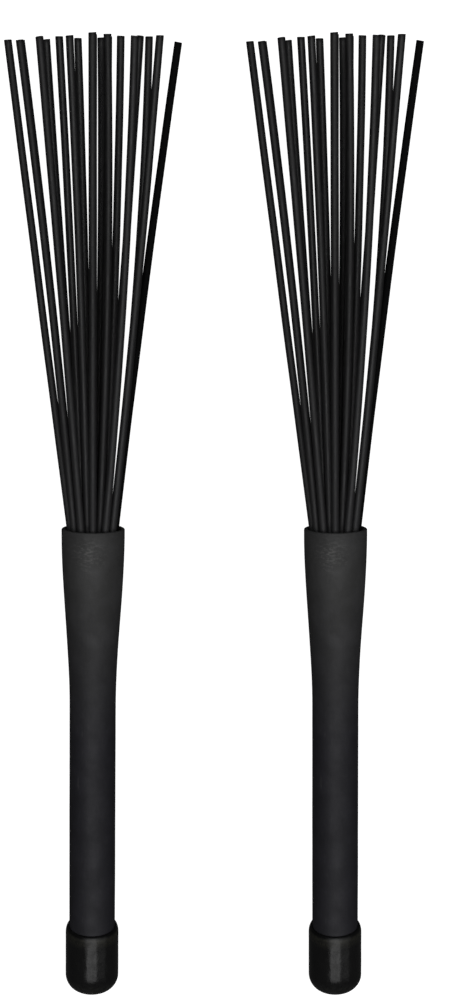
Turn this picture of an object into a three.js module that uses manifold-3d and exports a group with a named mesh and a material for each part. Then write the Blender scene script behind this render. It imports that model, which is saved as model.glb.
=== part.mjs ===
// A pair of drum brushes lying side by side, built in millimetres with +Z up.
// Each brush is drawn along +Y from its butt (y = 0) to its rod tips, with +X to its side
// and +Z up, and is then laid down so that it rests on its end cap and its lowest rods.

import * as THREE from 'three';
import { mergeVertices } from 'three/addons/utils/BufferGeometryUtils.js';
import Module from 'manifold-3d';

const wasm = await Module();
wasm.setup();

// Driving dimensions (mm)
const BRUSH_LENGTH = 305;
const MOUTH_Y = 152;
const GRIP_RADIUS = 7.35;
const MOUTH_RADIUS = 9.95;
const FLARE_START_Y = 95;
const FLARE_END_Y = 150.5;
const LIP_ROUND = 0.4;
const LIP_INNER_RADIUS = 8.85;
const TUBE_RADIUS = 6.35;
const TUBE_WALL = 0.9;
const TUBE_START_Y = 5.7;
const TUBE_END_Y = 127.8;
const FIT_GAP = 0.1;
const CUT_GAP = 0.3;

const CAP_LENGTH = 22.7;
const CAP_RADIUS = 8.5;
const CAP_DOME = 6.3;
const CAP_FLAT_RADIUS = 1.6;
const CAP_FLOOR = 4;
const CAP_SHOULDER = 2.4;
const CAP_RIM_SLANT = 0.22;
const CAP_SLANT_REACH = 8;

const PLUG_HEAD = 1.5;
const PLUG_LENGTH = 10;

const HOLDER_FACE_Y = 148.6;
const HOLDER_RADIUS = 8.4;
const HOLDER_CONE_END_Y = 138.6;
const STEM_START_Y = 112;
const PIN_Y = 119;
const PIN_RADIUS = 1;

const ROD_RADIUS = 1.2;
const ROD_FOOT_Y = 140;
const ROD_LENGTH = BRUSH_LENGTH - ROD_FOOT_Y;
const SOCKET_RADIUS = 1.34;
const INNER_RING = 2.85;
const OUTER_RING = 5.6;

const BRUSH_SPACING = 76.3;
const TOE_IN = THREE.MathUtils.degToRad(0.45);
const SKEW = THREE.MathUtils.degToRad(0.18);
const ROLL = THREE.MathUtils.degToRad(2.7);

// Facets round each turned piece, each rod and each socket, and steps along the curves
const TURNED_SIDES = 32;
const ROD_SIDES = 8;
const SOCKET_SIDES = 10;
const ROD_STEPS = 4;
const FLARE_STEPS = 8;
const DOME_STEPS = 6;
const EDGE_STEPS = 3;

// The rods of one brush. Each stands in a ring of sockets at an azimuth in degrees, 0 being
// straight up and 90 to the right, and ends at a tip so far to the side and so far up from
// the brush's axis. Its bow is how far its middle stands to the right of a straight rod, and
// extra is how much longer than the common length it was cut.
const RODS = [
  { name: 'middle', ring: 0, azimuth: 0, side: -0.4, rise: 0.5, bow: 0, extra: 0 },
  { name: 'inner_1', ring: INNER_RING, azimuth: 30, side: 4, rise: 9, bow: 1.5, extra: 0.1 },
  { name: 'inner_2', ring: INNER_RING, azimuth: 90, side: 8, rise: -0.5, bow: 0.9, extra: -0.2 },
  { name: 'inner_3', ring: INNER_RING, azimuth: 150, side: 4.2, rise: -9.5, bow: 0.6, extra: 0 },
  { name: 'inner_4', ring: INNER_RING, azimuth: 210, side: -5.2, rise: -9, bow: 0.7, extra: -0.7 },
  { name: 'inner_5', ring: INNER_RING, azimuth: 270, side: -10.8, rise: 0.5, bow: 0.4, extra: -0.5 },
  { name: 'inner_6', ring: INNER_RING, azimuth: 330, side: -7.5, rise: 8, bow: 0.6, extra: -0.4 },
  { name: 'outer_1', ring: OUTER_RING, azimuth: 0, side: -0.5, rise: 20, bow: 0, extra: 0.6 },
  { name: 'outer_2', ring: OUTER_RING, azimuth: 30, side: 12.2, rise: 16.5, bow: 1.4, extra: -0.1 },
  { name: 'outer_3', ring: OUTER_RING, azimuth: 60, side: 19.8, rise: 11, bow: 0.6, extra: 0.5 },
  { name: 'outer_4', ring: OUTER_RING, azimuth: 90, side: 25.7, rise: -1.5, bow: -0.6, extra: -0.7 },
  { name: 'outer_5', ring: OUTER_RING, azimuth: 120, side: 16.9, rise: -13, bow: 2.1, extra: 0.8 },
  { name: 'outer_6', ring: OUTER_RING, azimuth: 150, side: 14.1, rise: -17.5, bow: 0.3, extra: 1.2 },
  { name: 'outer_7', ring: OUTER_RING, azimuth: 180, side: 1.9, rise: -20, bow: 1.1, extra: 0.4 },
  { name: 'outer_8', ring: OUTER_RING, azimuth: 210, side: -15.2, rise: -17.5, bow: -0.3, extra: -0.1 },
  { name: 'outer_9', ring: OUTER_RING, azimuth: 240, side: -22.8, rise: -10.5, bow: 0.8, extra: -0.5 },
  { name: 'outer_10', ring: OUTER_RING, azimuth: 270, side: -26.4, rise: 1, bow: -0.1, extra: -0.6 },
  { name: 'outer_11', ring: OUTER_RING, azimuth: 300, side: -22.5, rise: 10, bow: 0.9, extra: -1.1 },
  { name: 'outer_12', ring: OUTER_RING, azimuth: 330, side: -16.4, rise: 15.5, bow: 0.2, extra: -0.4 },
];

const material = (color, roughness, metalness) =>
  new THREE.MeshStandardMaterial({ color, roughness, metalness });

const MATERIALS = {
  rubber: material(0x2b2b2e, 0.75, 0),
  vinyl: material(0x141416, 0.25, 0),
  aluminium: material(0xb9bcc0, 0.35, 0.9),
  moulding: material(0x1c1c1e, 0.5, 0),
  steel: material(0x8f9296, 0.35, 0.9),
  rod: material(0x19191b, 0.4, 0),
};

// Solids from closed meshes, and back
function toSolid(geometry) {
  const bare = geometry.clone();
  bare.deleteAttribute('normal');
  bare.deleteAttribute('uv');
  const merged = mergeVertices(bare, 1e-4);
  return new wasm.Manifold(new wasm.Mesh({
    numProp: 3,
    vertProperties: new Float32Array(merged.attributes.position.array),
    triVerts: new Uint32Array(merged.index.array),
  }));
}

function toGeometry(solid) {
  const mesh = solid.getMesh();
  const geometry = new THREE.BufferGeometry();
  geometry.setAttribute('position', new THREE.BufferAttribute(mesh.vertProperties, 3));
  geometry.setIndex(new THREE.BufferAttribute(mesh.triVerts, 1));
  geometry.computeVertexNormals();
  return geometry;
}

// A piece turned about the brush's axis. The profile is a list of [radius, y].
function turned(profile) {
  const points = profile.map(([radius, y]) => new THREE.Vector2(radius, y));
  return new THREE.LatheGeometry(points, TURNED_SIDES);
}

// Points of a quarter ellipse from one end to the other
function arc(centreRadius, centreY, radiusReach, yReach, from, to, steps) {
  const points = [];
  for (let step = 0; step <= steps; step += 1) {
    const angle = THREE.MathUtils.degToRad(from + (to - from) * step / steps);
    points.push([
      centreRadius + radiusReach * Math.cos(angle),
      centreY + yReach * Math.sin(angle),
    ]);
  }
  return points;
}

// A straight round bar between two points
function bar(start, end, radius, sides) {
  const direction = new THREE.Vector3().subVectors(end, start);
  const geometry = new THREE.CylinderGeometry(radius, radius, direction.length(), sides);
  const middle = new THREE.Vector3().addVectors(start, end).multiplyScalar(0.5);
  const turn = new THREE.Quaternion().setFromUnitVectors(
    new THREE.Vector3(0, 1, 0),
    direction.clone().normalize(),
  );
  geometry.applyQuaternion(turn);
  geometry.translate(middle.x, middle.y, middle.z);
  return geometry;
}

// Outer radius of the grip, straight and then swelling to the mouth
function gripRadius(y) {
  const swell = THREE.MathUtils.smoothstep(y, FLARE_START_Y, FLARE_END_Y);
  return GRIP_RADIUS + (MOUTH_RADIUS - GRIP_RADIUS) * swell;
}

function gripSleeve() {
  const startY = CAP_FLOOR + CUT_GAP;
  const bore = TUBE_RADIUS + FIT_GAP;
  const profile = [[bore, startY], [GRIP_RADIUS, startY]];
  for (let step = 0; step < FLARE_STEPS; step += 1) {
    const y = FLARE_START_Y + (FLARE_END_Y - FLARE_START_Y) * step / FLARE_STEPS;
    profile.push([gripRadius(y), y]);
  }
  const lip = MOUTH_RADIUS - LIP_ROUND;
  profile.push(...arc(lip, MOUTH_Y - LIP_ROUND, LIP_ROUND, LIP_ROUND, 0, 90, EDGE_STEPS));
  profile.push([LIP_INNER_RADIUS, MOUTH_Y]);
  profile.push([HOLDER_RADIUS + FIT_GAP, HOLDER_FACE_Y]);
  profile.push([HOLDER_RADIUS + FIT_GAP, HOLDER_CONE_END_Y - FIT_GAP]);
  profile.push([bore, TUBE_END_Y]);
  profile.push([bore, startY]);
  return turned(profile);
}

function pinHole() {
  const reach = 2 * TUBE_RADIUS;
  return toSolid(bar(
    new THREE.Vector3(-reach, PIN_Y, 0),
    new THREE.Vector3(reach, PIN_Y, 0),
    PIN_RADIUS + CUT_GAP,
    SOCKET_SIDES,
  ));
}

function handleTube() {
  const bore = TUBE_RADIUS - TUBE_WALL;
  const tube = turned([
    [bore, TUBE_START_Y],
    [TUBE_RADIUS, TUBE_START_Y],
    [TUBE_RADIUS, TUBE_END_Y],
    [bore, TUBE_END_Y],
    [bore, TUBE_START_Y],
  ]);
  return toGeometry(toSolid(tube).subtract(pinHole()));
}

function tubePlug() {
  const headY = CAP_FLOOR + FIT_GAP;
  const spigot = TUBE_RADIUS - TUBE_WALL - FIT_GAP;
  const head = TUBE_RADIUS - FIT_GAP;
  return turned([
    [0, headY],
    [head, headY],
    [head, headY + PLUG_HEAD - FIT_GAP],
    [spigot, headY + PLUG_HEAD - FIT_GAP],
    [spigot, headY + PLUG_LENGTH],
    [0, headY + PLUG_LENGTH],
  ]);
}

function endCap() {
  const bore = GRIP_RADIUS + FIT_GAP;
  const rim = CAP_RADIUS - bore;
  const domeReach = CAP_RADIUS - CAP_FLAT_RADIUS;
  const profile = [[0, 0]];
  profile.push(...arc(CAP_FLAT_RADIUS, CAP_DOME, domeReach, CAP_DOME, -90, 0, DOME_STEPS));
  profile.push(...arc(bore, CAP_LENGTH - CAP_SHOULDER, rim, CAP_SHOULDER, 0, 80, EDGE_STEPS));
  profile.push([bore, CAP_LENGTH]);
  profile.push([bore, CAP_FLOOR]);
  profile.push([0, CAP_FLOOR]);
  return slantRim(turned(profile));
}

// Lets the rim of the cap run aslant, lower on its upper side
function slantRim(geometry) {
  const points = geometry.attributes.position;
  for (let index = 0; index < points.count; index += 1) {
    const y = points.getY(index);
    const start = CAP_LENGTH - CAP_SLANT_REACH;
    const share = THREE.MathUtils.clamp((y - start) / CAP_SLANT_REACH, 0, 1);
    points.setY(index, y - CAP_RIM_SLANT * share * points.getZ(index));
  }
  return geometry;
}

// Where a rod starts, ends and curves
function rodPath(rod) {
  const azimuth = THREE.MathUtils.degToRad(rod.azimuth);
  const foot = new THREE.Vector3(
    rod.ring * Math.sin(azimuth),
    ROD_FOOT_Y,
    rod.ring * Math.cos(azimuth),
  );
  const spread = Math.hypot(rod.side - foot.x, rod.rise - foot.z);
  const tip = new THREE.Vector3(
    rod.side,
    ROD_FOOT_Y + Math.sqrt((ROD_LENGTH + rod.extra) ** 2 - spread ** 2),
    rod.rise,
  );
  const control = new THREE.Vector3().addVectors(foot, tip).multiplyScalar(0.5);
  control.x += 2 * rod.bow;
  return new THREE.QuadraticBezierCurve3(foot, control, tip);
}

function bristleRod(rod) {
  const section = [];
  for (let side = 0; side < ROD_SIDES; side += 1) {
    const angle = 2 * Math.PI * side / ROD_SIDES;
    section.push(new THREE.Vector2(
      ROD_RADIUS * Math.cos(angle),
      ROD_RADIUS * Math.sin(angle),
    ));
  }
  return new THREE.ExtrudeGeometry(new THREE.Shape(section), {
    steps: ROD_STEPS,
    extrudePath: rodPath(rod),
  });
}

// A blind hole that follows the rod's foot out through the face of the holder
function socket(rod) {
  const path = rodPath(rod);
  const direction = path.getTangent(0);
  const foot = path.getPoint(0);
  const depth = HOLDER_FACE_Y - ROD_FOOT_Y + 2 * CUT_GAP;
  return toSolid(bar(
    foot.clone().addScaledVector(direction, -CUT_GAP),
    foot.clone().addScaledVector(direction, depth),
    SOCKET_RADIUS,
    SOCKET_SIDES,
  ));
}

function bristleHolder() {
  const stem = TUBE_RADIUS - TUBE_WALL - FIT_GAP;
  const seatY = TUBE_END_Y + FIT_GAP;
  const body = turned([
    [0, STEM_START_Y],
    [stem, STEM_START_Y],
    [stem, seatY],
    [TUBE_RADIUS, seatY],
    [HOLDER_RADIUS, HOLDER_CONE_END_Y],
    [HOLDER_RADIUS, HOLDER_FACE_Y],
    [0, HOLDER_FACE_Y],
  ]);
  const holes = RODS.map(socket);
  const drilled = holes.reduce((solid, hole) => solid.subtract(hole), toSolid(body));
  return toGeometry(drilled.subtract(pinHole()));
}

function retainingPin() {
  const halfLength = TUBE_RADIUS - 2 * FIT_GAP;
  return bar(
    new THREE.Vector3(-halfLength, PIN_Y, 0),
    new THREE.Vector3(halfLength, PIN_Y, 0),
    PIN_RADIUS,
    ROD_SIDES,
  );
}

// One brush, in its own frame
function brush(hand) {
  const group = new THREE.Group();
  const add = (name, geometry, finish) => {
    const mesh = new THREE.Mesh(geometry, finish);
    mesh.name = `${hand}_${name}`;
    group.add(mesh);
  };
  add('grip_sleeve', gripSleeve(), MATERIALS.rubber);
  add('handle_tube', handleTube(), MATERIALS.aluminium);
  add('tube_plug', tubePlug(), MATERIALS.moulding);
  add('end_cap', endCap(), MATERIALS.vinyl);
  add('bristle_holder', bristleHolder(), MATERIALS.moulding);
  add('retaining_pin', retainingPin(), MATERIALS.steel);
  for (const rod of RODS) {
    add(`rod_${rod.name}`, bristleRod(rod), MATERIALS.rod);
  }
  return group;
}

// How far the tips rise when the cap and the lowest rods both touch the table
function restTilt() {
  const lowest = Math.min(...RODS.map((rod) => rod.rise)) - ROD_RADIUS;
  const drop = -lowest - CAP_RADIUS;
  return Math.asin(drop / (BRUSH_LENGTH - CAP_DOME));
}

// Lays a brush down to one side of the middle: rolled about its own axis, tilted, toed in and
// a little askew
function laidBrush(hand, side) {
  const tool = brush(hand);
  tool.position.y = -BRUSH_LENGTH / 2;
  const rolled = new THREE.Group();
  rolled.add(tool);
  rolled.rotation.y = -side * ROLL;
  const tilted = new THREE.Group();
  tilted.add(rolled);
  tilted.rotation.x = restTilt();
  const laid = new THREE.Group();
  laid.add(tilted);
  laid.rotation.z = side * TOE_IN - SKEW;
  laid.position.x = side * BRUSH_SPACING / 2;
  return laid;
}

// The pair, standing on z = 0 with its box centred on the origin
function pair() {
  const group = new THREE.Group();
  group.add(laidBrush('left', -1), laidBrush('right', 1));
  const box = new THREE.Box3().setFromObject(group, true);
  const centre = box.getCenter(new THREE.Vector3());
  group.position.set(-centre.x, -centre.y, -box.min.z);
  return group;
}

export default pair();
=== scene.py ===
"""A pair of drum brushes: rubber grips, glossy vinyl caps and fans of black plastic rods.

Each brush is worked out in its own frame in millimetres, with y running from its butt to its
tips, and is placed by where the CAD tube, pin and cap lie.
"""

import math
import random

import bpy
import numpy as np
from mathutils import Matrix, Vector, noise


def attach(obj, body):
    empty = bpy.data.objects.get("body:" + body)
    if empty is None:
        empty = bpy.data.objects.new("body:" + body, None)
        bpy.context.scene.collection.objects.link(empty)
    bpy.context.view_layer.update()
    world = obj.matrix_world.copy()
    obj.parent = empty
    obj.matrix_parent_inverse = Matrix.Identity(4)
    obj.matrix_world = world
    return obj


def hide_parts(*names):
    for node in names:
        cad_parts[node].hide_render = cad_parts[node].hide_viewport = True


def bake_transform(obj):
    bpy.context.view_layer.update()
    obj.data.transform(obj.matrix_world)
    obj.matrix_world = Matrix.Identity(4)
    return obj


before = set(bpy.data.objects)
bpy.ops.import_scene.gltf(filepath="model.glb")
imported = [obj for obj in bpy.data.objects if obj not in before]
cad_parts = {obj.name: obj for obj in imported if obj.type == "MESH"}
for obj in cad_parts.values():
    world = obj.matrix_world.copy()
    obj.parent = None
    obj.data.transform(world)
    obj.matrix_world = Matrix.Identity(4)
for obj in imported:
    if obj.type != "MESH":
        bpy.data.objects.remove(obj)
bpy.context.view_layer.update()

MM = 0.001
HANDS = ("left", "right")

# Grip and mouth (lengths in mm)
GRIP_RADIUS = 7.35
MOUTH_RADIUS = 9.95
MOUTH_Y = 152
FLARE_START_Y = 95
FLARE_END_Y = 150.5
LIP_ROUND = 0.4
LIP_INNER_RADIUS = 8.85
SLEEVE_BORE = 6.45
SLEEVE_START_Y = 4.3
SEAT_RADIUS = 8.5
SEAT_START_Y = 138.5
HOLDER_FACE_Y = 148.6
TUBE_END_Y = 127.8
SLEEVE_EDGE = 0.25
SLEEVE_STEPS = 74
RUBBER_UNEVENNESS = 0.05

# Cap (lengths in mm)
CAP_RADIUS = 8.5
CAP_LENGTH = 22.7
CAP_DOME = 6.3
CAP_FLAT_RADIUS = 1.6
CAP_SHOULDER = 2.4
CAP_BORE = 7.45
CAP_RIM_SLANT = 0.22
CAP_SLANT_REACH = 8
CAP_FLOOR = 4
CAP_EDGE = 0.15
CAP_STEPS = 10
VINYL_UNEVENNESS = 0.035

# Rods (lengths in mm)
ROD_RADIUS = 1.2
ROD_SIDES = 20
ROD_STEPS = 64
ROD_CHAMFER = 0.12
CAD_RING_GAP = 10
SLOPE_REACH = 0.002
ROD_WAVE = 0.06
ROD_WAVE_REACH = 40
ROD_WAVE_PACE = 0.035
NOISE_REACH = 500
ROD_CUT_SLANT = 0.09
ROD_SEED = 19
FLEX_END_Y = 214
# One rod is painted dark as shade and given a duller finish; the others are darkened at random.
PAINTED_SHADE_ROD = "outer_4"
PAINTED_SHADE_TONE = 0.95
LARGEST_TONE = 0.6

TURNED_SIDES = 128

# Camera (m, degrees and, for its lens, mm)
CAMERA_REACH = 0.794
CAMERA_AIM = Vector((0.006, 0.0072, 0.0095))
CAMERA_LEAN = 6.1
CAMERA_LENS = 90.2
SENSOR_HEIGHT = 36

# Stage (lengths in m)
FLOOR_SIZE = 12
FLOOR_GAP = 0.0003
STAGE_GLOW = 0.97
WORLD_LIGHT = 0.04


# ---------------------------------------------------------------- frames and shapes

def node_points(name):
    """The corners of a CAD node, each once, in metres."""
    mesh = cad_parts[name].data
    return np.array(sorted({tuple(round(c, 7) for c in v.co) for v in mesh.vertices}))


def end_middles(points, direction, depth):
    """The middles of the two ends of a long piece."""
    along = points @ direction
    first = points[along < along.min() + depth].mean(axis=0)
    last = points[along > along.max() - depth].mean(axis=0)
    return first, last


def brush_place(hand):
    """The matrix from a brush's own millimetres to the row frame."""
    rough_axis = np.array((0.0, 1.0, 0.0))
    first, last = end_middles(node_points(f"{hand}_handle_tube"), rough_axis, MM)
    axis = Vector(last - first).normalized()
    pin = node_points(f"{hand}_retaining_pin")
    left, right = end_middles(pin, np.array((1.0, 0.0, 0.0)), MM)
    side = Vector(right - left)
    up = side.cross(axis).normalized()
    side = axis.cross(up)
    cap = node_points(f"{hand}_end_cap")
    start = Vector(first)
    butt = min(axis.dot(Vector(p) - start) for p in cap)
    origin = start + axis * butt
    turn = Matrix((side, axis, up)).transposed().to_4x4()
    return Matrix.Translation(origin) @ turn @ Matrix.Scale(MM, 4)


def arc(centre_radius, centre_y, radius_reach, y_reach, start, end, steps):
    """Points of an elliptical arc, angles in degrees from the outward radius."""
    points = []
    for step in range(steps + 1):
        angle = math.radians(start + (end - start) * step / steps)
        radius = centre_radius + radius_reach * math.cos(angle)
        points.append((radius, centre_y + y_reach * math.sin(angle)))
    return points


def make_piece(name, points, faces, place, grain, material):
    """A smooth mesh object, with its own millimetres kept for its material as "grain"."""
    mesh = bpy.data.meshes.new(name)
    mesh.from_pydata([place @ Vector(p) for p in points], [], faces)
    mesh.update()
    attribute = mesh.attributes.new("grain", "FLOAT_VECTOR", "POINT")
    attribute.data.foreach_set("vector", np.array(grain, dtype=np.float32).ravel())
    mesh.polygons.foreach_set("use_smooth", [True] * len(mesh.polygons))
    mesh.materials.append(material)
    piece = bpy.data.objects.new(name, mesh)
    bpy.context.scene.collection.objects.link(piece)
    return piece


def turned_piece(name, profile, place, material, shaped):
    """A piece turned about the brush's axis from [radius, y] points that make a closed ring
    or start and end on the axis. shaped(x, y, z) gives the place of a moulded point."""
    on_axis = profile[0][0] == 0
    ring = profile[1:-1] if on_axis else profile
    points = []
    for radius, y in ring:
        for side in range(TURNED_SIDES):
            angle = 2 * math.pi * side / TURNED_SIDES
            points.append(shaped(radius * math.sin(angle), y, radius * math.cos(angle)))
    faces = []
    rows = len(ring) - 1 if on_axis else len(ring)
    for row in range(rows):
        below = row * TURNED_SIDES
        above = (row + 1) % len(ring) * TURNED_SIDES
        for side in range(TURNED_SIDES):
            after = (side + 1) % TURNED_SIDES
            faces.append((below + side, above + side, above + after, below + after))
    if on_axis:
        last = (len(ring) - 1) * TURNED_SIDES
        for end, start, flip in ((profile[0], 0, False), (profile[-1], last, True)):
            middle = len(points)
            points.append((0, end[1], 0))
            for side in range(TURNED_SIDES):
                after = (side + 1) % TURNED_SIDES
                corner = (start + side, middle, start + after)
                faces.append(corner if flip else corner[::-1])
    return make_piece(name, points, faces, place, points, material)


# ---------------------------------------------------------------- materials

def new_material(name):
    material = bpy.data.materials.new(name)
    material.use_nodes = True
    return material, material.node_tree, material.node_tree.nodes["Principled BSDF"]


def add(tree, kind, inputs=(), **settings):
    """A node with its settings, and inputs given as (socket, value or output) pairs."""
    made = tree.nodes.new(kind)
    for key, value in settings.items():
        setattr(made, key, value)
    for socket, value in inputs:
        if isinstance(value, bpy.types.NodeSocket):
            tree.links.new(value, made.inputs[socket])
        else:
            made.inputs[socket].default_value = value
    return made


def grain_vector(tree, stretch=(1, 1, 1)):
    """The piece's own millimetres, stretched for a pattern that runs along it."""
    source = add(tree, "ShaderNodeAttribute", attribute_name="grain")
    scaled = add(tree, "ShaderNodeVectorMath", [(0, source.outputs["Vector"]), (1, stretch)],
                 operation="MULTIPLY")
    return scaled.outputs["Vector"]


def object_vector(tree):
    """The same for a carried-over CAD node, whose coordinates are metres."""
    source = add(tree, "ShaderNodeTexCoord")
    scaled = add(tree, "ShaderNodeVectorMath", [(0, source.outputs["Object"]), (1, (1000,) * 3)],
                 operation="MULTIPLY")
    return scaled.outputs["Vector"]


def speckle(tree, vector, scale, detail=4.0, roughness=0.55):
    made = add(tree, "ShaderNodeTexNoise",
               [("Vector", vector), ("Scale", scale), ("Detail", detail), ("Roughness", roughness)])
    return made.outputs["Fac"]


def ranged(tree, value, low, high, to_low=0.0, to_high=1.0):
    made = add(tree, "ShaderNodeMapRange",
               [("Value", value), ("From Min", low), ("From Max", high),
                ("To Min", to_low), ("To Max", to_high)])
    return made.outputs["Result"]


def mixed(tree, factor, first, second):
    made = add(tree, "ShaderNodeMix", [("Factor", factor), (6, first), (7, second)],
               data_type="RGBA")
    return made.outputs[2]


def combine(tree, operation, first, second):
    made = add(tree, "ShaderNodeMath", [(0, first), (1, second)], operation=operation)
    return made.outputs["Value"]


def bumped(tree, shader, layers):
    """Bump layers as (height output, depth in mm), the last one on top."""
    normal = None
    for height, depth in layers:
        inputs = [("Height", height), ("Distance", depth * MM)]
        if normal is not None:
            inputs.append(("Normal", normal))
        normal = add(tree, "ShaderNodeBump", inputs).outputs["Normal"]
    tree.links.new(normal, shader.inputs["Normal"])


def near(tree, vector, spot, reach):
    """1 at a spot, falling to 0 at some mm from it."""
    distance = add(tree, "ShaderNodeVectorMath", [(0, vector), (1, spot)], operation="DISTANCE")
    return ranged(tree, distance.outputs["Value"], 0, reach, 1, 0)


def rubber_material():
    """Matte moulded rubber, greyer towards the mouth and scuffed near it."""
    material, tree, shader = new_material("grip_rubber")
    vector = grain_vector(tree)
    split = add(tree, "ShaderNodeSeparateXYZ", [("Vector", vector)])
    worn = ranged(tree, split.outputs["Y"], 84, 136)
    cloud = speckle(tree, vector, 0.14, 5)
    patch = ranged(tree, cloud, 0.38, 0.68)
    handled = mixed(tree, patch, (0.0180, 0.0178, 0.0225, 1), (0.0265, 0.0260, 0.0325, 1))
    rubbed = mixed(tree, patch, (0.047, 0.047, 0.047, 1), (0.063, 0.063, 0.064, 1))
    base = mixed(tree, worn, handled, rubbed)
    streak = speckle(tree, grain_vector(tree, (1.0, 0.12, 1.0)), 1.6, 3)
    rub = combine(tree, "MULTIPLY", ranged(tree, streak, 0.58, 0.75), ranged(tree, cloud, 0.5, 0.7))
    streaked = mixed(tree, combine(tree, "MULTIPLY", rub, 0.5), base, (0.085, 0.085, 0.085, 1))
    scrape = ranged(tree, speckle(tree, grain_vector(tree, (0.7, 1.6, 0.7)), 1.1, 5), 0.47, 0.66)
    scuff = combine(tree, "MULTIPLY", near(tree, vector, (-1.2, 145, 9.8), 6.5), scrape)
    scuffed = mixed(tree, combine(tree, "MULTIPLY", scuff, 0.75), streaked, (0.16, 0.16, 0.155, 1))
    tree.links.new(scuffed, shader.inputs["Base Color"])
    tree.links.new(ranged(tree, cloud, 0.3, 0.7, 0.66, 0.54), shader.inputs["Roughness"])
    shader.inputs["Specular IOR Level"].default_value = 0.42
    creases = speckle(tree, grain_vector(tree, (0.12, 2.2, 0.12)), 1.0, 2)
    lip = ranged(tree, split.outputs["Y"], 138, 150)
    bumped(tree, shader, [
        (speckle(tree, vector, 0.35, 2), 0.10),
        (combine(tree, "MULTIPLY", creases, lip), 0.12),
        (streak, 0.02),
        (speckle(tree, vector, 4.5, 3, 0.7), 0.018),
    ])
    return material


def vinyl_material():
    """Glossy dipped vinyl with a little orange peel, dust, fine rubbing, a duller rim carrying a
    painted highlight, and patches lighter towards the butt.
    """
    material, tree, shader = new_material("cap_vinyl")
    vector = grain_vector(tree)
    split = add(tree, "ShaderNodeSeparateXYZ", [("Vector", vector)])
    level = add(tree, "ShaderNodeMath",
                [(0, split.outputs["Z"]), (1, CAP_RIM_SLANT), (2, split.outputs["Y"])],
                operation="MULTIPLY_ADD").outputs["Value"]
    rim = ranged(tree, level, CAP_LENGTH - 4.2, CAP_LENGTH - 1.6)
    edge = ranged(tree, level, CAP_LENGTH - 1.1, CAP_LENGTH - 0.6)
    cloud = speckle(tree, vector, 0.3, 4)
    base = mixed(tree, cloud, (0.0078, 0.0078, 0.0080, 1), (0.0125, 0.0125, 0.0125, 1))
    dust = ranged(tree, speckle(tree, vector, 3.4, 2), 0.66, 0.78)
    dusty = mixed(tree, combine(tree, "MULTIPLY", dust, 0.35), base, (0.06, 0.06, 0.05, 1))
    # Painted highlight: a warm lighter band in patches round the rim.
    rim_highlight = combine(tree, "MULTIPLY", rim, ranged(tree, speckle(tree, vector, 0.9, 4), 0.3, 0.6))
    rim_highlighted = mixed(tree, combine(tree, "MULTIPLY", rim_highlight, 0.8), dusty, (0.034, 0.033, 0.025, 1))
    # Lighter in patches towards the butt.
    butt = combine(tree, "MULTIPLY", ranged(tree, split.outputs["Y"], 1.2, 5.5, 0.75, 0),
                   ranged(tree, speckle(tree, vector, 0.8, 4), 0.35, 0.62))
    lighter_butt = mixed(tree, butt, rim_highlighted, (0.045, 0.045, 0.042, 1))
    edged = mixed(tree, edge, lighter_butt, (0.0035, 0.0035, 0.0035, 1))
    tree.links.new(edged, shader.inputs["Base Color"])
    rub = speckle(tree, grain_vector(tree, (1.0, 0.2, 1.0)), 1.1, 5)
    gloss = ranged(tree, rub, 0.35, 0.7, 0.16, 0.30)
    tree.links.new(combine(tree, "ADD", gloss, combine(tree, "MULTIPLY", rim, 0.12)),
                   shader.inputs["Roughness"])
    shader.inputs["Specular IOR Level"].default_value = 0.42
    bumped(tree, shader, [
        (speckle(tree, vector, 0.45, 2), 0.06),
        (speckle(tree, vector, 2.2, 3), 0.008),
    ])
    return material


def rod_material(name, shine):
    """Extruded black plastic rod with fine lines along it, rubbed patches, painted light towards
    its root and its own darkness, at random on most rods and painted shade on one. Its grain
    runs up to 0 at the tip."""
    material, tree, shader = new_material(name)
    vector = grain_vector(tree)
    height = add(tree, "ShaderNodeSeparateXYZ", [("Vector", vector)]).outputs["Y"]
    lines = speckle(tree, grain_vector(tree, (1.0, 0.03, 1.0)), 2.6, 4)
    patches = speckle(tree, vector, 0.22, 4)
    base = mixed(tree, ranged(tree, lines, 0.35, 0.68), (0.0085, 0.0085, 0.0092, 1),
                 (0.023, 0.023, 0.024, 1))
    rubbed = mixed(tree, ranged(tree, patches, 0.5, 0.75, 0, 0.6), base, (0.040, 0.040, 0.040, 1))
    # Painted light: the rods are made lighter towards their roots, where the mouth's shade falls.
    root_painted_light = mixed(tree, ranged(tree, height, -150, -70, 0.65, 0), rubbed, (0.044, 0.044, 0.047, 1))
    # Painted shade: on one rod this darkening stands in for shade; on the others it is random.
    tone_and_shade = add(tree, "ShaderNodeAttribute", attribute_name="tone_and_shade").outputs["Fac"]
    toned_and_shaded = mixed(tree, tone_and_shade, root_painted_light, (0.0030, 0.0030, 0.0032, 1))
    ended = mixed(tree, ranged(tree, height, -0.9, -0.3), toned_and_shaded, (0.0025, 0.0025, 0.0025, 1))
    tree.links.new(ended, shader.inputs["Base Color"])
    worn = ranged(tree, patches, 0.3, 0.7, 0.30, 0.48)
    tree.links.new(combine(tree, "ADD", worn, combine(tree, "MULTIPLY", tone_and_shade, 0.4)),
                   shader.inputs["Roughness"])
    shader.inputs["Specular IOR Level"].default_value = shine
    bumped(tree, shader, [
        (lines, 0.03),
        (speckle(tree, vector, 5.0, 2), 0.006),
    ])
    return material


def moulded_material():
    """Satin moulded plastic for the holder and the plug."""
    material, tree, shader = new_material("moulded_plastic")
    vector = object_vector(tree)
    cloud = speckle(tree, vector, 0.4, 4)
    tree.links.new(mixed(tree, cloud, (0.012, 0.012, 0.013, 1), (0.022, 0.022, 0.023, 1)),
                   shader.inputs["Base Color"])
    tree.links.new(ranged(tree, cloud, 0.3, 0.7, 0.42, 0.58), shader.inputs["Roughness"])
    bumped(tree, shader, [(speckle(tree, vector, 3.0, 3), 0.012)])
    return material


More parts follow.
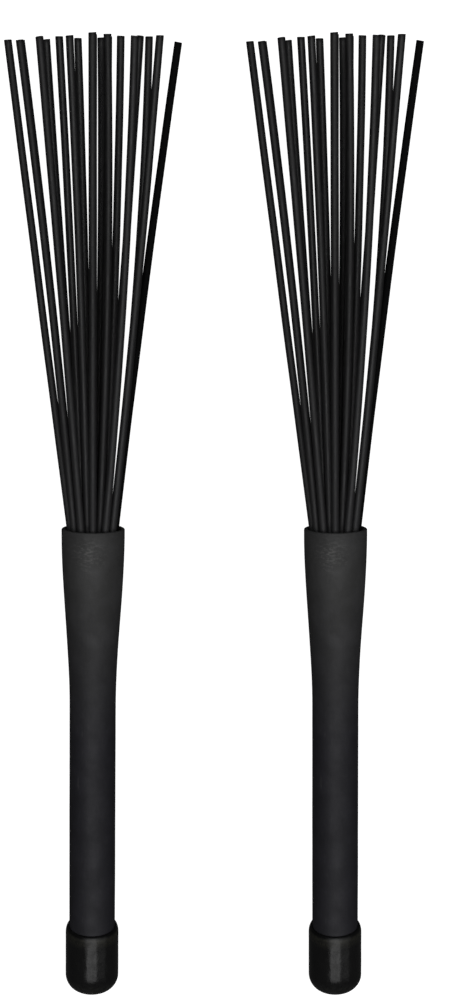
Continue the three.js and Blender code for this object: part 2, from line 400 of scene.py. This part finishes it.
def metal_material(name, dark, light, roughness, stretch):
    """Drawn or ground metal with fine lines along the piece."""
    material, tree, shader = new_material(name)
    vector = object_vector(tree)
    scaled = add(tree, "ShaderNodeVectorMath", [(0, vector), (1, stretch)], operation="MULTIPLY")
    lines = speckle(tree, scaled.outputs["Vector"], 3.0, 4)
    tree.links.new(mixed(tree, lines, dark, light), shader.inputs["Base Color"])
    tree.links.new(ranged(tree, lines, 0.3, 0.7, roughness, roughness + 0.15),
                   shader.inputs["Roughness"])
    shader.inputs["Metallic"].default_value = 1.0
    bumped(tree, shader, [(lines, 0.004)])
    return material


# ---------------------------------------------------------------- pieces

def grip_radius(y):
    """Straight grip that swells smoothly to the mouth."""
    share = min(max((y - FLARE_START_Y) / (FLARE_END_Y - FLARE_START_Y), 0), 1)
    return GRIP_RADIUS + (MOUTH_RADIUS - GRIP_RADIUS) * share * share * (3 - 2 * share)


def uneven(x, y, z, depth, spot):
    """A point moved in or out by soft noise, up to depth in mm."""
    swell = 1 + depth * noise.noise(Vector(spot)) / math.hypot(x, z)
    return x * swell, y, z * swell


def rubber_shape(x, y, z):
    """A grip that is slightly uneven, in swells drawn out along it."""
    return uneven(x, y, z, RUBBER_UNEVENNESS, (0.16 * x, 0.056 * y, 0.16 * z))


def vinyl_shape(x, y, z):
    """Dipped vinyl whose rim runs aslant, lower on its upper side."""
    share = min(max((y - CAP_LENGTH + CAP_SLANT_REACH) / CAP_SLANT_REACH, 0), 1)
    x, y, z = uneven(x, y, z, VINYL_UNEVENNESS, (0.22 * x, 0.22 * y, 0.22 * z))
    return x, y - CAP_RIM_SLANT * share * z, z


def grip_sleeve(hand, place, material):
    """The sleeve from its butt end, up its outside, over the lip and back down its seats."""
    edge_radius = GRIP_RADIUS - SLEEVE_EDGE
    profile = [(SLEEVE_BORE, SLEEVE_START_Y), (edge_radius, SLEEVE_START_Y)]
    profile += arc(edge_radius, SLEEVE_START_Y + SLEEVE_EDGE, SLEEVE_EDGE, SLEEVE_EDGE, -60, 0, 3)
    wall_y = SLEEVE_START_Y + 1
    lip_y = MOUTH_Y - LIP_ROUND
    for step in range(1, SLEEVE_STEPS):
        y = wall_y + (lip_y - wall_y) * step / SLEEVE_STEPS
        profile.append((grip_radius(y), y))
    profile += arc(MOUTH_RADIUS - LIP_ROUND, lip_y, LIP_ROUND, LIP_ROUND, 0, 90, 7)
    profile += arc(LIP_INNER_RADIUS + SLEEVE_EDGE, MOUTH_Y - SLEEVE_EDGE, SLEEVE_EDGE, SLEEVE_EDGE,
                   100, 180, 4)
    profile += [(SEAT_RADIUS, HOLDER_FACE_Y), (SEAT_RADIUS, SEAT_START_Y),
                (SLEEVE_BORE, TUBE_END_Y)]
    name = f"{hand}_grip"
    piece = turned_piece(name, profile, place, material, rubber_shape)
    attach(piece, f"{hand}_handle")
    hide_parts(f"{hand}_grip_sleeve")


def end_cap(hand, place, material):
    """The cap from the middle of its butt, over dome, wall and rim, and down its bore."""
    dome_reach = CAP_RADIUS - CAP_FLAT_RADIUS
    profile = [(0, 0), (CAP_FLAT_RADIUS * 0.5, 0)]
    profile += arc(CAP_FLAT_RADIUS, CAP_DOME, dome_reach, CAP_DOME, -90, 0, 16)
    wall_top = CAP_LENGTH - CAP_SHOULDER
    for step in range(1, CAP_STEPS):
        profile.append((CAP_RADIUS, CAP_DOME + (wall_top - CAP_DOME) * step / CAP_STEPS))
    edge_radius = CAP_BORE + CAP_EDGE
    profile += arc(edge_radius, wall_top, CAP_RADIUS - edge_radius, CAP_SHOULDER, 0, 90, 9)
    profile += arc(edge_radius, CAP_LENGTH - CAP_EDGE, CAP_EDGE, CAP_EDGE, 120, 180, 2)
    profile += [(CAP_BORE, CAP_FLOOR), (0, CAP_FLOOR)]
    name = f"{hand}_cap"
    piece = turned_piece(name, profile, place, material, vinyl_shape)
    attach(piece, f"{hand}_handle")
    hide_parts(f"{hand}_end_cap")


def rod_line(node, place):
    """Foot, control and tip of a CAD rod's curve, in the brush's own millimetres."""
    back = place.inverted()
    points = sorted((back @ Vector(p) for p in node_points(node)), key=lambda p: p.y)
    rings = [[points[0]]]
    for before, point in zip(points, points[1:]):
        if point.y - before.y > CAD_RING_GAP:
            rings.append([])
        rings[-1].append(point)
    middles = [sum(ring, Vector()) / len(ring) for ring in rings]
    foot, tip = middles[0], middles[-1]
    middle = middles[len(middles) // 2]
    return foot, 2 * middle - (foot + tip) / 2, tip


def rod_piece(node, place, material, dice, tone_and_shade):
    """A round rod along its CAD node's curve, a little wavy, with chamfered, slanted ends."""
    foot, control, tip = rod_line(node, place)
    offset = dice.uniform(0, NOISE_REACH)
    cut_x = dice.uniform(-ROD_CUT_SLANT, ROD_CUT_SLANT)
    cut_z = dice.uniform(-ROD_CUT_SLANT, ROD_CUT_SLANT)
    length = (tip - foot).length

    def centre(share):
        rest = 1 - share
        point = foot * rest * rest + control * 2 * share * rest + tip * share * share
        free = min(max((point.y - HOLDER_FACE_Y) / ROD_WAVE_REACH, 0), 1)
        wave = Vector((offset, point.y * ROD_WAVE_PACE, 0))
        sway = ROD_WAVE * free
        point.x += sway * noise.noise(wave)
        point.z += sway * noise.noise(wave + Vector((0, 0, 40)))
        return point

    shares = [step / ROD_STEPS for step in range(ROD_STEPS + 1)]
    chamfer = ROD_CHAMFER / length
    stations = [(0, ROD_RADIUS - ROD_CHAMFER), (chamfer, ROD_RADIUS)]
    stations += [(share, ROD_RADIUS) for share in shares[1:-1]]
    stations += [(1 - chamfer, ROD_RADIUS), (1, ROD_RADIUS - ROD_CHAMFER)]
    points, grain = [], []
    for share, radius in stations:
        middle = centre(share)
        ahead = centre(share + SLOPE_REACH) - centre(share - SLOPE_REACH)
        ahead.normalize()
        side = ahead.cross(Vector((0, 0, 1))).normalized()
        up = side.cross(ahead)
        at_tip = share > 1 - 1.5 * chamfer
        for turn in range(ROD_SIDES):
            angle = 2 * math.pi * turn / ROD_SIDES
            across = side * (radius * math.cos(angle)) + up * (radius * math.sin(angle))
            slant = cut_x * across.x + cut_z * across.z if at_tip else 0
            points.append(middle + across + ahead * slant)
            grain.append((radius * math.cos(angle) + offset, (share - 1) * length,
                          radius * math.sin(angle)))
    faces = []
    for row in range(len(stations) - 1):
        below, above = row * ROD_SIDES, (row + 1) * ROD_SIDES
        for turn in range(ROD_SIDES):
            after = (turn + 1) % ROD_SIDES
            faces.append((below + turn, above + turn, above + after, below + after))
    faces.append(tuple(range(ROD_SIDES)))
    top = (len(stations) - 1) * ROD_SIDES
    faces.append(tuple(top + turn for turn in reversed(range(ROD_SIDES))))
    name = node.replace("_rod_", "_bristle_")
    piece = make_piece(name, points, faces, place, grain, material)
    for face in piece.data.polygons[-2:]:
        face.use_smooth = False
    attribute = piece.data.attributes.new("tone_and_shade", "FLOAT", "POINT")
    attribute.data.foreach_set("value", [tone_and_shade] * len(points))

    def at_height(y):
        return place @ centre((y - foot.y) / (tip.y - foot.y))

    at_height(HOLDER_FACE_Y)
    at_height(FLEX_END_Y)
    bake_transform(piece)
    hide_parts(node)


def dress_cad(materials):
    """Materials for the CAD pieces that stay."""
    finishes = {
        "handle_tube": materials["aluminium"],
        "tube_plug": materials["moulded"],
        "bristle_holder": materials["moulded"],
        "retaining_pin": materials["steel"],
    }
    for hand in HANDS:
        for part, material in finishes.items():
            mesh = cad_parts[f"{hand}_{part}"].data
            mesh.materials.clear()
            mesh.materials.append(material)


# ---------------------------------------------------------------- camera, floor and lights

def make_camera():
    lens = bpy.data.cameras.new("camera")
    lens.sensor_fit = "VERTICAL"
    lens.sensor_height = SENSOR_HEIGHT
    lens.lens = CAMERA_LENS
    lens.clip_end = 50
    camera = bpy.data.objects.new("camera", lens)
    lean = math.radians(CAMERA_LEAN)
    away = Vector((0, math.sin(lean), math.cos(lean))) * CAMERA_REACH
    camera.location = CAMERA_AIM + away
    camera.rotation_euler = (-lean, 0, 0)
    bpy.context.scene.collection.objects.link(camera)
    bpy.context.scene.camera = camera


def stage_material():
    material, tree, shader = new_material("pale_stage")
    shader.inputs["Base Color"].default_value = (0.55, 0.55, 0.55, 1)
    shader.inputs["Roughness"].default_value = 1.0
    shader.inputs["Specular IOR Level"].default_value = 0.0
    shader.inputs["Emission Color"].default_value = (1, 1, 1, 1)
    shader.inputs["Emission Strength"].default_value = STAGE_GLOW
    return material


def make_stage():
    """A pale floor and a dome round it, which light nothing and aren't reflected."""
    material = stage_material()
    bpy.ops.mesh.primitive_plane_add(size=FLOOR_SIZE, location=(0, 0, -FLOOR_GAP))
    floor = bpy.context.object
    floor.name = "floor"
    bpy.ops.mesh.primitive_uv_sphere_add(radius=FLOOR_SIZE / 2, segments=48, ring_count=24)
    dome = bpy.context.object
    dome.name = "backdrop"
    for piece in (floor, dome):
        piece.data.materials.append(material)
        piece.visible_glossy = False
        piece.visible_diffuse = False
    dome.visible_shadow = False


def soft_light(name, place, lean, width, length, power):
    """A softbox facing down, leaning sideways by some degrees, its length along the brushes."""
    light = bpy.data.lights.new(name, "AREA")
    light.shape = "RECTANGLE"
    light.size = width
    light.size_y = length
    light.energy = power
    lamp = bpy.data.objects.new(name, light)
    lamp.location = place
    lamp.rotation_euler = (0, math.radians(lean), 0)
    lamp.visible_camera = False
    bpy.context.scene.collection.objects.link(lamp)


def make_lights():
    """A wide softbox overhead, a weaker one to the right, and a dim even surrounding."""
    soft_light("main_softbox", (0.05, 0.1, 2.2), lean=0, width=1.85, length=2.6, power=24)
    soft_light("right_fill", (1.7, 0.1, 1.7), lean=45, width=1.4, length=2.4, power=4)
    world = bpy.data.worlds.new("studio")
    world.use_nodes = True
    background = world.node_tree.nodes["Background"]
    background.inputs["Color"].default_value = (1, 1, 1, 1)
    background.inputs["Strength"].default_value = WORLD_LIGHT
    bpy.context.scene.world = world
    bpy.context.scene.view_settings.view_transform = "Standard"


make_camera()
make_stage()
make_lights()

MATERIALS = {
    "rubber": rubber_material(),
    "vinyl": vinyl_material(),
    "rod": rod_material("rod_plastic", 0.5),
    "dull_rod": rod_material("rod_plastic_dull", 0.1),
    "moulded": moulded_material(),
    "aluminium": metal_material("tube_aluminium", (0.50, 0.51, 0.52, 1), (0.66, 0.67, 0.68, 1),
                                0.28, (1, 0.05, 1)),
    "steel": metal_material("pin_steel", (0.40, 0.40, 0.41, 1), (0.56, 0.56, 0.57, 1),
                            0.22, (0.1, 1, 1)),
}

dress_cad(MATERIALS)
for hand in HANDS:
    place = brush_place(hand)
    grip_sleeve(hand, place, MATERIALS["rubber"])
    end_cap(hand, place, MATERIALS["vinyl"])
    dice = random.Random(ROD_SEED)
    for node in sorted(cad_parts):
        if node.startswith(f"{hand}_rod_"):
            # One rod takes painted shade instead of a random darkening.
            takes_painted_shade = node.endswith(PAINTED_SHADE_ROD)
            tone_and_shade = PAINTED_SHADE_TONE if takes_painted_shade else dice.uniform(0, LARGEST_TONE)
            material = MATERIALS["dull_rod"] if takes_painted_shade else MATERIALS["rod"]
            rod_piece(node, place, material, dice, tone_and_shade)
